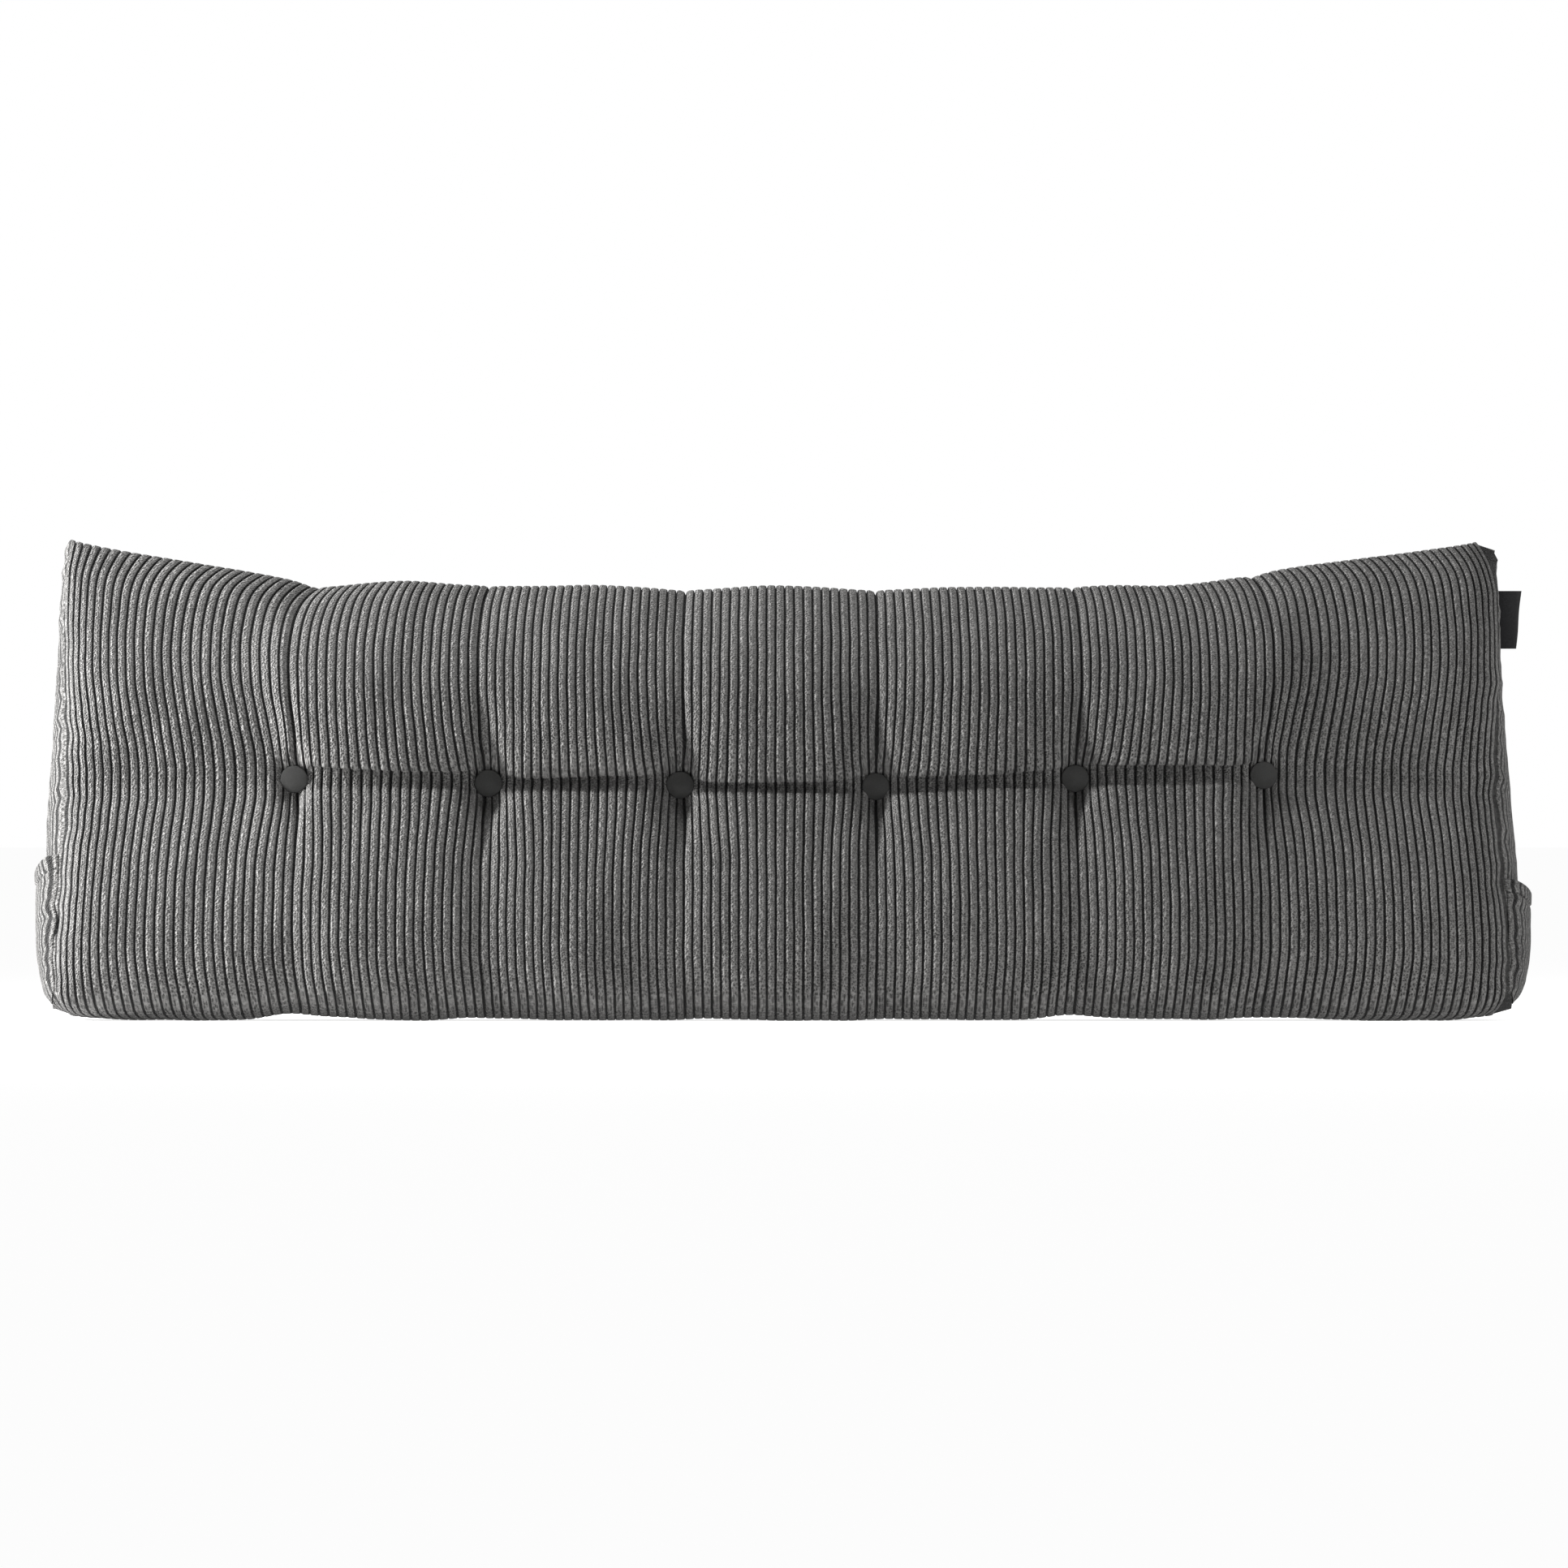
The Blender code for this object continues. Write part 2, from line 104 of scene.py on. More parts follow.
# Beyond the last tuft the front stays flat and turns back near the seam: the higher WING_TURN, the later.
# Its wales close in there by up to CROWD.
WING_TURN = 12.0
CROWD = 0.010

# The wales are shallow where the cushion rests, up to this height
BASE_RIBS = 0.3
BASE_FADE = 0.020

# An end panel stands out beyond its seams by left or right, at each height
EndSwell = namedtuple("EndSwell", "z left right")
END_SWELLS = [
    EndSwell(0.000, 0.0040, 0.0040),
    EndSwell(0.040, 0.0100, 0.0130),
    EndSwell(0.080, 0.0140, 0.0165),
    EndSwell(0.120, 0.0165, 0.0180),
    EndSwell(0.160, 0.0190, 0.0195),
    EndSwell(0.200, 0.0225, 0.0190),
    EndSwell(0.240, 0.0215, 0.0180),
    EndSwell(0.280, 0.0165, 0.0125),
    EndSwell(0.330, 0.0110, 0.0060),
    EndSwell(0.380, 0.0070, 0.0030),
    EndSwell(0.430, 0.0060, 0.0025),
    EndSwell(0.482, 0.0030, 0.0005),
]

# An end panel's mesh: its rows, how they crowd at the top, how far inside its seams it starts, its lowest and
# highest points, the height at which its width is measured, and the part of a wale that its front seam cuts
END_ROWS = 48
END_CROWDING = 1.2
END_INSET = 0.0014
END_BOTTOM = 0.0120
END_TOP = 0.474
END_FOOT_Z = 0.02
END_START = 0.35
BACK_SEAM_Y = -0.0050

# Painted shade on the end panels and the last wales before them: the grooves' dark is painted wider and the
# pile is painted darker there, more at the left end
PAINTED_END_SHADE = {-1: 1.0, 1: 0.45}
PAINTED_END_SHADE_WALES = 6.0

# A tuft is a button with the channel that runs from it to the top and bottom edges.
# wale: where it sits, counted from the left seam. fold: the groove that closes there. x and z: the button.
# crest_z: the top edge above it. lift: how far the base rises under it.
Tuft = namedtuple("Tuft", "wale fold x z crest_z lift")
TUFTS = [
    Tuft(25.5, 26, -0.4900, 0.2424, 0.4370, 0.0062),
    Tuft(46.5, 46, -0.2945, 0.2384, 0.4385, 0.0022),
    Tuft(68.5, 69, -0.1017, 0.2367, 0.4345, 0.0016),
    Tuft(90.0, 90, 0.0950, 0.2351, 0.4345, 0.0010),
    Tuft(112.0, 112, 0.2955, 0.2432, 0.4365, 0.0052),
    Tuft(133.0, 133, 0.4850, 0.2465, 0.4475, 0.0036),
]

# A bay is the puff between two tufts. lip_left and lip_right: how much lower its fold hangs there.
Bay = namedtuple("Bay", "crest_z lip_left lip_right overhang")
BAYS = [
    Bay(0.4430, -0.0040, -0.0030, 0.004),
    Bay(0.4392, 0.0040, -0.0035, -0.004),
    Bay(0.4388, 0.0070, 0.0010, 0.002),
    Bay(0.4372, 0.0010, -0.0020, 0.003),
    Bay(0.4380, -0.0050, -0.0030, 0.000),
]

# An ear is a top corner. lean: how far its wales lean in where they cross the top edge.
# reach and rise: how much further out and higher its seam stands than the crest row says.
Ear = namedtuple("Ear", "side lean reach rise")
EARS = [Ear(-1, 0.020, 0.0125, 0.0025), Ear(1, 0.011, -0.0070, 0.0000)]
EAR_MIDDLE = 0.54
EAR_SPREAD = 0.13

# One row of the section, from the base round the front and over the top to the back.
# steps: how many rows of the mesh lie between it and the next. seat: half the flat width under a button.
# width: a channel's. fold: how deep the groove at its middle closes. spread: how far the wales stand apart,
# against the buttons' row. turn: how far they crowd towards the end seam. lean: share of the ears' lean.
# puff, channel and wing are (y, z) between two tufts, at a tuft, and beyond the last tuft.
# seam is (x, y, z) at the end panel, where x is half the length. corner: how far the seam lifts there.
Row = namedtuple("Row", "name steps front seat width fold spread turn lean puff channel wing seam corner")
ROWS = [
    Row("base_back", 1, 0, 0, 0.045, 0, -0.006, 0, 0,
        (-0.035, 0), (-0.035, 0), (-0.035, 0), (0.719, -0.035, 0), 0.004),
    Row("base_front", 3, 0, 0, 0.045, 0, -0.006, 0, 0,
        (-0.166, 0), (-0.166, 0), (-0.166, 0), (0.719, -0.166, 0), 0.010),
    Row("heel", 3, 1, 0, 0.034, 0.0022, -0.006, 0.0015, 0,
        (-0.198, 0.005), (-0.195, 0.006), (-0.197, 0.005), (0.722, -0.190, 0.006), 0.010),
    Row("toe", 4, 1, 0, 0.020, 0.0016, -0.001, 0.0020, 0,
        (-0.222, 0.026), (-0.218, 0.028), (-0.220, 0.026), (0.727, -0.209, 0.024), 0.005),
    Row("low_a", 5, 1, 0, 0.020, 0.0008, 0.009, 0.0045, 0,
        (-0.228, 0.062), (-0.2235, 0.063), (-0.225, 0.062), (0.728, -0.199, 0.061), 0),
    Row("low_b", 5, 1, 0, 0.018, 0.0004, 0.010, 0.0057, 0,
        (-0.219, 0.115), (-0.2135, 0.115), (-0.212, 0.117), (0.725, -0.178, 0.116), 0),
    Row("low_c", 5, 1, 0, 0.016, 0.0006, 0.006, 0.0057, 0,
        (-0.198, 0.166), (-0.191, 0.166), (-0.188, 0.168), (0.721, -0.156, 0.167), 0),
    Row("shoulder", 5, 1, 0, 0.015, 0.0024, 0.001, 0.0040, 0,
        (-0.172, 0.212), (-0.160, 0.206), (-0.162, 0.207), (0.718, -0.139, 0.206), 0),
    Row("ledge", 4, 1, 0.007, 0.012, 0.0036, 0, 0.0030, 0,
        (-0.160, 0.2312), (-0.1365, 0.2240), (-0.147, 0.224), (0.717, -0.131, 0.223), 0),
    Row("recess", 5, 1, 0.011, 0.008, 0, 0, 0.0030, 0,
        (-0.141, 0.2350), (-0.1310, 0.2370), (-0.138, 0.238), (0.717, -0.126, 0.237), 0),
    Row("under_lip", 5, 1, 0.012, 0.008, 0, 0, 0.0030, 0,
        (-0.138, 0.2480), (-0.1305, 0.2490), (-0.138, 0.252), (0.717, -0.121, 0.251), 0),
    Row("lip", 6, 1, 0.008, 0.012, 0.0025, 0.003, 0.0038, 0,
        (-0.155, 0.2475), (-0.1380, 0.2600), (-0.139, 0.271), (0.718, -0.117, 0.270), 0),
    Row("up_a", 6, 1, 0, 0.016, 0.0038, 0.010, 0.0062, 0,
        (-0.162, 0.2750), (-0.1495, 0.2860), (-0.138, 0.302), (0.720, -0.106, 0.301), 0),
    Row("up_b", 6, 1, 0, 0.020, 0.0018, 0.021, 0.0093, 0,
        (-0.146, 0.333), (-0.1385, 0.340), (-0.125, 0.347), (0.722, -0.089, 0.346), 0),
    Row("brow", 6, 1, 0, 0.020, 0.0016, 0.018, 0.0095, 0,
        (-0.109, 0.385), (-0.104, 0.388), (-0.094, 0.393), (0.723, -0.067, 0.402), 0),
    Row("crest_front", 5, 1, 0, 0.018, 0.0018, 0.007, 0.0080, 0.3,
        (-0.069, 0.420), (-0.063, 0.4205), (-0.062, 0.427), (0.721, -0.047, 0.455), 0),
    Row("crest", 5, 1, 0, 0.012, 0.0018, -0.002, 0.0040, 1,
        (-0.040, 0.434), (-0.037, 0.4335), (-0.038, 0.4380), (0.714, -0.028, 0.4825), 0),
    Row("nape", 3, 1, 0, 0.012, 0.0010, -0.002, 0.0030, 1,
        (-0.010, 0.420), (-0.010, 0.4190), (-0.010, 0.4260), (0.716, -0.008, 0.467), 0),
    Row("back_a", 2, 0, 0, 0.012, 0, 0, 0, 0.3,
        (0.005, 0.365), (0.005, 0.365), (0.005, 0.365), (0.719, -0.001, 0.380), 0),
    Row("back_b", 1, 0, 0, 0.012, 0, 0, 0, 0,
        (0.012, 0.290), (0.012, 0.290), (0.012, 0.290), (0.721, 0.000, 0.295), 0),
    Row("back_c", 2, 0, 0, 0.012, 0, 0, 0, 0,
        (0.012, 0.120), (0.012, 0.120), (0.012, 0.120), (0.724, 0.000, 0.120), 0),
    Row("back_d", 1, 0, 0, 0.012, 0, 0, 0, 0,
        (0.005, 0.045), (0.005, 0.045), (0.005, 0.045), (0.724, -0.001, 0.045), 0),
    Row("back_heel", 2, 0, 0, 0.012, 0, 0, 0, 0,
        (-0.013, 0.008), (-0.013, 0.008), (-0.013, 0.008), (0.721, -0.012, 0.010), 0),
]
SEAM_ROWS = [row for row in ROWS if row.front][1:-1]
# The front seam turns under at these rows, which are in order from the front.
TURN_ROWS = [row for row in ROWS if row.name in ("toe", "heel", "base_front")][::-1]

# Pockets. side: -1 left, 1 right. The mouth is mouth_z high at its ends and hangs lower by sag in the middle.
Pocket = namedtuple("Pocket", "name side mouth_z sag stand_off")
POCKETS = [
    Pocket("pocket_left", -1, 0.168, 0.020, 0.0060),
    Pocket("pocket_right", 1, 0.144, 0.016, 0.0076),
]
POCKET_BOTTOM = 0.017
POCKET_BACK = -0.0085
POCKET_INSET = 0.0014
POCKET_CORNER = 0.0030
POCKET_ROWS = 56
POCKET_CROWDING = 1.3
SEAT_GAP = 0.0004

# A pocket's hollow opens over these lengths from its front, its back and its bottom
EASE_START = 0.004
EASE_SIDE = 0.018
EASE_BOTTOM = 0.030

# A pocket's cloth reaches its full height at POCKET_RISE from a sewn edge, where SEWN_SHARE of it is left.
# It rounds off over LIP at the mouth, to LIP_SHARE. POCKET_RIBS is its wales' share of the cover's height.
POCKET_RISE = 0.012
SEWN_SHARE = 0.10
LIP = 0.0022
LIP_SHARE = 0.1
POCKET_RIBS = 0.85

# A pocket's hem: how deep it is, how sharp its edge, how much thicker it is, and how much more at the mouth.
# Its stitches: their length, width and depth, and how much they flatten the wales
HEM = 0.0145
HEM_EDGE = 0.0007
HEM_THICK = 0.0009
HEM_FLARE = 0.0008
STITCH = 0.0036
STITCH_WIDE = 0.0013
STITCH_DEEP = 0.0009
STITCH_FLAT = 0.45

BUTTON_RADIUS = 0.0138
BUTTON_WALL = 0.0066
BUTTON_DOME = 0.0009
BUTTON_BACK_Y = -0.1290
BUTTON_STEPS = 72

# A button's wall, as (share of the radius, height, how much painted shade it takes at the rim)
BUTTON_EDGE = [
    (0, 0, 1),
    (0.90, 0, 1),
    (1, 0.0010, 1),
    (1, BUTTON_WALL - 0.0012, 1),
    (0.99, BUTTON_WALL - 0.0004, 1),
    (0.97, BUTTON_WALL, 0.6),
]
BUTTON_FACE_SHARES = (0.94, 0.82, 0.65, 0.40, 0.20, 0)

# The tag is LABEL_WIDE at its lower end and wider by LABEL_SPREAD at the top. It bends and curls a little,
# and its outer edge is rounded from LABEL_EDGE of its width on.
LABEL_TOP = 0.4330
LABEL_BOTTOM = 0.3745
LABEL_THICK = 0.0012
LABEL_ROWS = 15
LABEL_COLUMNS = 13
LABEL_ROOT = 0.0002
LABEL_WIDE = 0.0266
LABEL_SPREAD = 0.0053
LABEL_WAVER = 0.0004
LABEL_BEND = 0.0016
LABEL_CURL = 0.0022
LABEL_EDGE = 0.94

# Colours of the pile and of what shows through it, and of the painted shade and painted light on it
PILE_DARK = (0.128, 0.126, 0.123, 1)
PILE_LIGHT = (0.155, 0.152, 0.148, 1)
BRUSHED_DOWN = (0.062, 0.061, 0.060, 1)
BRUSHED_UP = (0.170, 0.167, 0.162, 1)
PIT = (0.012, 0.012, 0.011, 1)
DARK_FLECK = (0.035, 0.035, 0.034, 1)
PALE_FLECK = (0.300, 0.295, 0.290, 1)
PALE_FIBRE = (0.32, 0.315, 0.31, 1)
PAINTED_LIGHT_SIDE = (0.26, 0.255, 0.25, 1)
GROUND_AND_GROOVE_SHADE = (0.006, 0.006, 0.006, 1)
THREAD = (0.012, 0.012, 0.012, 1)
PAINTED_SHADE_BLACK = (0.0, 0.0, 0.0, 1)

# Soft light: rectangles of size metres at place, which look at target. The floor and the surroundings have
# one strength where the camera looks and another as a light.
Light = namedtuple("Light", "name place size watts target")
LIGHTS = [
    Light("key_left", (-2.0, -0.28, 0.65), (0.3, 0.5), 118, (-0.3, -0.05, 0.25)),
    Light("top", (-0.6, 0.5, 2.0), (1.8, 0.5), 37, (0, -0.1, 0.3)),
    Light("fill_right", (1.9, -0.9, 0.6), (0.4, 0.7), 14, (0.3, -0.05, 0.25)),
]
WORLD_SEEN = 1.0
WORLD_LIT = 0.29
FLOOR_SEEN = 0.80
FLOOR_LIT = 0.42
FLOOR_RADIUS = 60


def waves(place, lengths, seed):
    """Smooth noise of about -1 to 1 along a line: sines of these wavelengths with seeded phases."""
    phases = np.random.default_rng(seed).uniform(0, 2 * math.pi, len(lengths))
    parts = [np.sin(2 * math.pi * place / length + phase) for length, phase in zip(lengths, phases)]
    return sum(parts) / math.sqrt(len(lengths))


def ripples(a, b, sizes, seed):
    """Smooth noise of about -1 to 1 over a surface with coordinates a and b, in metres."""
    draw = np.random.default_rng(seed)
    total = np.zeros(np.broadcast(a, b).shape)
    for size_a, size_b in sizes:
        turn = draw.uniform(0, 2 * math.pi, 4)
        lean = draw.uniform(0.7, 1.3, 4)
        total += np.sin(2 * math.pi * (a / size_a * lean[0] + b / size_b * 0.37) + turn[0]) * np.sin(
            2 * math.pi * (b / size_b * lean[1] - a / size_a * 0.29) + turn[1]
        )
    return total / math.sqrt(len(sizes))


def level(z):
    """-1 at the base, 0 at the crease, 1 at the crest."""
    return np.where(z < CREASE_Z, z / CREASE_Z - 1, (z - CREASE_Z) / (CREST_Z - CREASE_Z))


def between_tufts(u):
    """(bay number, share of the way across it, how far along an end panel's wing), for wale places u."""
    marks = np.array([t.wale for t in TUFTS])
    bay = np.clip(np.searchsorted(marks, u, side="right") - 1, 0, len(BAYS) - 1)
    share = np.clip((u - marks[bay]) / (marks[bay + 1] - marks[bay]), 0, 1)
    left = np.clip((marks[0] - u) / marks[0], 0, 1)
    right = np.clip((u - marks[-1]) / (WALES - marks[-1]), 0, 1)
    return bay, share, left + right


def column_x(u, row):
    """(x of each column in this row, its distance from the nearest tuft's channel)."""
    tufts = np.array([t.x for t in TUFTS]) * (1 + row.spread)
    marks = np.array([0.0, *(t.wale for t in TUFTS), WALES])
    line = np.interp(u, marks, [-row.seam[0], *tufts, row.seam[0]])
    wing = between_tufts(u)[2]
    line = line + np.sign(line) * row.turn * np.sin(math.pi * wing**1.3)
    line = line + np.sign(line) * CROWD * (wing - wing**WING_TURN) * row.front
    away = line - tufts[np.abs(line[:, None] - tufts).argmin(axis=1)]
    height = (row.puff[1] - CREASE_Z) / PINCH_Z
    line = line - PINCH * away * np.exp(-((away / PINCH_X) ** 2) / 2 - height**2 / 2)
    for ear in EARS:
        reach = np.exp(-(((ear.side * line - EAR_MIDDLE) / EAR_SPREAD) ** 2) / 2)
        line = line - ear.side * ear.lean * row.lean * reach
        at_seam = (wing * (ear.side * line > 0)) ** 2
        line = line + ear.side * ear.reach * row.lean * at_seam
    return line, np.abs(away)


def channel_share(away, row, wing):
    """1 in a tuft's channel, falling to 0 on the puffs beside it."""
    beyond = np.maximum(away - row.seat, 0)
    fade = np.clip((wing - SEAT_WING) / (1 - SEAT_WING), 0, 1)
    return (1 - fade) ** 2 / (1 + (beyond / row.width) ** 2)


def row_points(u, row):
    """The row's smooth points at wale places u, as an array of (x, y, z)."""
    x, away = column_x(u, row)
    bay, share, wing = between_tufts(u)
    channel = channel_share(away, row, wing)[:, None]
    to_seam = np.column_stack([wing**WING_TURN, wing])
    side = np.array(row.wing) + (np.array(row.seam[1:]) - np.array(row.wing)) * to_seam
    full = np.where(wing[:, None] > 0, side, np.array(row.puff))
    yz = full + (np.array(row.channel) - full) * channel
    marks = [t.wale for t in TUFTS]
    if row.name in ("base_back", "base_front", "heel"):
        yz[:, 1] += np.interp(u, marks, [t.lift for t in TUFTS]) * channel[:, 0]
    yz[:, 1] += row.corner * wing**10
    for ear in EARS:
        yz[:, 1] += ear.rise * row.lean * (wing * (ear.side * x > 0)) ** 4
    if not row.front:
        return np.column_stack([x, yz])

    row_level = float(level(row.puff[1]))
    inner = 1 - wing
    tuft_crest = np.interp(u, marks, [t.crest_z for t in TUFTS]) - CREST_Z
    bay_crest = np.array([b.crest_z for b in BAYS])[bay] - CREST_Z
    hump = np.sin(math.pi * share) ** 2
    crest_move = (tuft_crest + (bay_crest - tuft_crest) * hump) * inner
    crease_move = (np.interp(u, marks, [t.z for t in TUFTS]) - CREASE_Z) * inner
    bell = math.exp(-((row_level / 0.45) ** 2) / 2)
    yz[:, 1] += crest_move * max(row_level, 0) ** 2 + crease_move * bell

    free = (wing == 0) * (1 - channel[:, 0])
    if row.name in ("under_lip", "lip"):
        left = np.array([b.lip_left for b in BAYS])[bay]
        right = np.array([b.lip_right for b in BAYS])[bay]
        overhang = np.array([b.overhang for b in BAYS])[bay]
        yz[:, 1] -= (left + (right - left) * share) * free
        yz[:, 0] -= overhang * free * hump**0.5
    sway = np.sin(u * 0.37 + row_level * 5) * np.sin(u * 0.11 + 1)
    rise = BAY_CROWN * (np.sin(math.pi * share) - 0.6) * free * min(1, abs(row_level) * 3)
    yz[:, 0] += SWAY * sway * (1 - wing**2) * (1 - channel[:, 0]) - rise * (1 - max(row_level, 0) ** 4)
    return np.column_stack([x, yz])


def mesh_rows(values):
    """A number of each row of the section, spread over the rows of the mesh."""
    out = []
    for row, start, end in zip(ROWS, values, values[1:] + values[:1]):
        out.extend(np.linspace(start, end, row.steps, endpoint=False))
    return np.array(out)


def round_section(rows, steps):
    """Smooth closed curves through rows[row, column], with steps[row] points from each row to the next."""
    gaps = np.linalg.norm(np.roll(rows, -1, axis=0) - rows, axis=2).mean(axis=1) ** 0.5
    count = len(rows)
    out = []
    for i in range(count):
        p = [rows[(i + k) % count] for k in (-1, 0, 1, 2)]
        t = np.cumsum([0, gaps[i - 1], gaps[i], gaps[(i + 1) % count]])
        for s in np.linspace(t[1], t[2], steps[i], endpoint=False):
            a = [(p[k] * (t[k + 1] - s) + p[k + 1] * (s - t[k])) / (t[k + 1] - t[k]) for k in range(3)]
            b = [(a[k] * (t[k + 2] - s) + a[k + 1] * (s - t[k])) / (t[k + 2] - t[k]) for k in range(2)]
            out.append((b[0] * (t[2] - s) + b[1] * (s - t[1])) / (t[2] - t[1]))
    return np.array(out)


def outward(points):
    """Unit normals of a grid of points[row, column], where rows go round and columns go along +X."""
    along = np.gradient(points, axis=1)
    padded = np.concatenate([points[-1:], points, points[:1]])
    round_it = (padded[2:] - padded[:-2]) / 2
    normal = np.cross(along, round_it)
    return normal / np.linalg.norm(normal, axis=2, keepdims=True)


def wale_places(count):
    """Every column's place, counted in wales, from the first groove to the last."""
    return np.append(np.add.outer(np.arange(count), WALE_SHARES).ravel(), count)


def wale_rise(u):
    """How high the pile stands at wale places u: 0 in a groove, 1 on a ridge."""
    off = np.abs((u % 1) * 2 - 1)
    return np.sqrt(np.maximum(1 - off**WALE_ROUND, 0))


def seam_x(z):
    """Half the length at the front seam, at height z."""
    front = SEAM_ROWS[:-1]
    return np.interp(z, [r.seam[2] for r in front], [r.seam[0] for r in front])


def front_seam_z(y):
    """The height at which the front seam passes depth y."""
    return np.interp(y, [r.seam[1] for r in SEAM_ROWS], [r.seam[2] for r in SEAM_ROWS])


def front_seam_y(z):
    """The depth at which the front seam passes height z."""
    return np.interp(z, [r.seam[2] for r in SEAM_ROWS], [r.seam[1] for r in SEAM_ROWS])


def turned_seam_z(y):
    """The height of the front seam at depth y, where it turns under the front corner."""
    return np.interp(y, [r.seam[1] for r in TURN_ROWS], [r.seam[2] + r.corner for r in TURN_ROWS])


def seam_gather(z, side):
    """How far the gathers move the front seam along X and Y, at height z."""
    calm = np.clip((z - 0.02) / 0.03, 0, 1) * (0.35 + 0.65 * np.clip((0.40 - z) / 0.10, 0, 1))
    along = GATHER * calm * waves(z, GATHERS_ALONG, 11 + side)
    return along, GATHER * calm * waves(z, GATHERS_DEEP, 17 + side)


def end_x(y, z, side):
    """Half the length at a point of an end panel: steep at its seams, flat between them."""
    front = front_seam_y(z)
    behind = np.maximum(y - front, 0)
    across = np.clip((y - front) / (BACK_SEAM_Y - front), 0, 1)
    swells = [end.right if side > 0 else end.left for end in END_SWELLS]
    swell = np.interp(z, [end.z for end in END_SWELLS], swells)
    gather = side * seam_gather(z, side)[0] * np.exp(-behind / END_GATHER_REACH)
    ripple = END_RIPPLE * np.exp(-behind / END_RIPPLE_REACH) * waves(z + y * 0.3, END_RIPPLES, 5 + side)
    edge = np.clip(across / 0.05, 0, 1)
    return seam_x(z) + swell * np.sqrt(4 * across * (1 - across)) + gather + ripple * edge


def grid_normals(points, side):
    """Unit normals of an open grid of points[row, column], which look away from the cushion's middle."""
    normal = np.cross(np.gradient(points, axis=1), np.gradient(points, axis=0))
    normal /= np.maximum(np.linalg.norm(normal, axis=2, keepdims=True), 1e-9)
    return normal * np.sign(normal[..., :1] * side + 1e-12)


def add_grid(bm, points, wrap=False, flip=False):
    """Joins points[row, column] with quads. The faces look along columns x rows. Returns the vertices."""
    verts = [[bm.verts.new(p) for p in line] for line in points]
    rows = len(verts) if wrap else len(verts) - 1
    for i in range(rows):
        low, high = verts[i], verts[(i + 1) % len(verts)]
        for k in range(len(low) - 1):
            corners = (low[k], low[k + 1], high[k + 1], high[k])
            bm.faces.new(corners[::-1] if flip else corners)
    return verts


def loop_edges(bm, loop):
    """The edges of a closed loop of vertices, made where they are missing."""
    edges = []
    for a, b in zip(loop, loop[1:] + loop[:1]):
        edges.append(bm.edges.get((a, b)) or bm.edges.new((a, b)))
    return edges


def grid_rim(verts):
    """The vertices round an open grid's edge, in order."""
    return verts[0] + [row[-1] for row in verts[1:-1]] + verts[-1][::-1] + [row[0] for row in verts[-2:0:-1]]


def join_rims(bm, first, second):
    """Closes the gap between the edges of two grids of one size."""
    rims = list(zip(grid_rim(first), grid_rim(second)))
    for (near, far), (next_near, next_far) in zip(rims, rims[1:] + rims[:1]):
        bm.faces.new((near, far, next_far, next_near))
    bmesh.ops.recalc_face_normals(bm, faces=bm.faces)


def from_ends(u):
    """(side, how many wales in from that side's seam) for both ends, at wale places u."""
    return (-1, u), (1, WALES - u)


def ribbed_bmesh():
    """An empty mesh whose vertices carry the values that the corduroy reads."""
    bm = bmesh.new()
    for name in LAYERS:
        bm.verts.layers.float.new(name)
    return bm


def set_wales(bm, verts, places, end, below=None):
    """Keeps each column's wale place on its vertices, for the material, with two more values there.

    end: how much painted shade each column takes on and near an end panel. below: how far under a pocket's
    mouth each vertex lies.
    """
    wale, painted_end_shade, hem = (bm.verts.layers.float[name] for name in LAYERS)
    for i, line in enumerate(verts):
        for k, vert in enumerate(line):
            vert[wale] = places[k]
            vert[painted_end_shade] = end[k]
            if below is not None:
                vert[hem] = below[i, k]


def end_panel(bm, ring, side):
    """Fills one end of the loft with a crowned panel, whose wales run beside the front seam."""
    back_y = BACK_SEAM_Y - END_INSET
    foot_y = front_seam_y(END_FOOT_Z)
    wide = back_y - foot_y - END_INSET
    places = wale_places(round(wide / WALE_PITCH))
    behind = END_INSET + wide * places / places[-1]
    high = np.minimum(front_seam_z(back_y - behind), END_TOP)
    low = np.maximum(turned_seam_z(foot_y + behind) + END_INSET, END_BOTTOM)
    rows = 1 - (1 - np.linspace(0, 1, END_ROWS)) ** END_CROWDING
    z = low + (high - low) * rows[:, None]
    depth = np.minimum(front_seam_y(z) + behind, back_y) + 0.0006 * waves(z, (0.09, 0.05), 3)
    grid = np.stack([side * end_x(depth, z, side), depth, z], axis=2)
    grid += grid_normals(grid, side) * (WALE_HEIGHT * (wale_rise(places + END_START) - 1))[None, :, None]
    verts = add_grid(bm, grid, flip=side < 0)
    set_wales(bm, verts, places + END_START, np.full_like(places, PAINTED_END_SHADE[side]))
    edges = loop_edges(bm, ring) + loop_edges(bm, grid_rim(verts))
    bmesh.ops.triangle_fill(bm, use_beauty=True, use_dissolve=False, edges=edges, normal=(side, 0, 0))


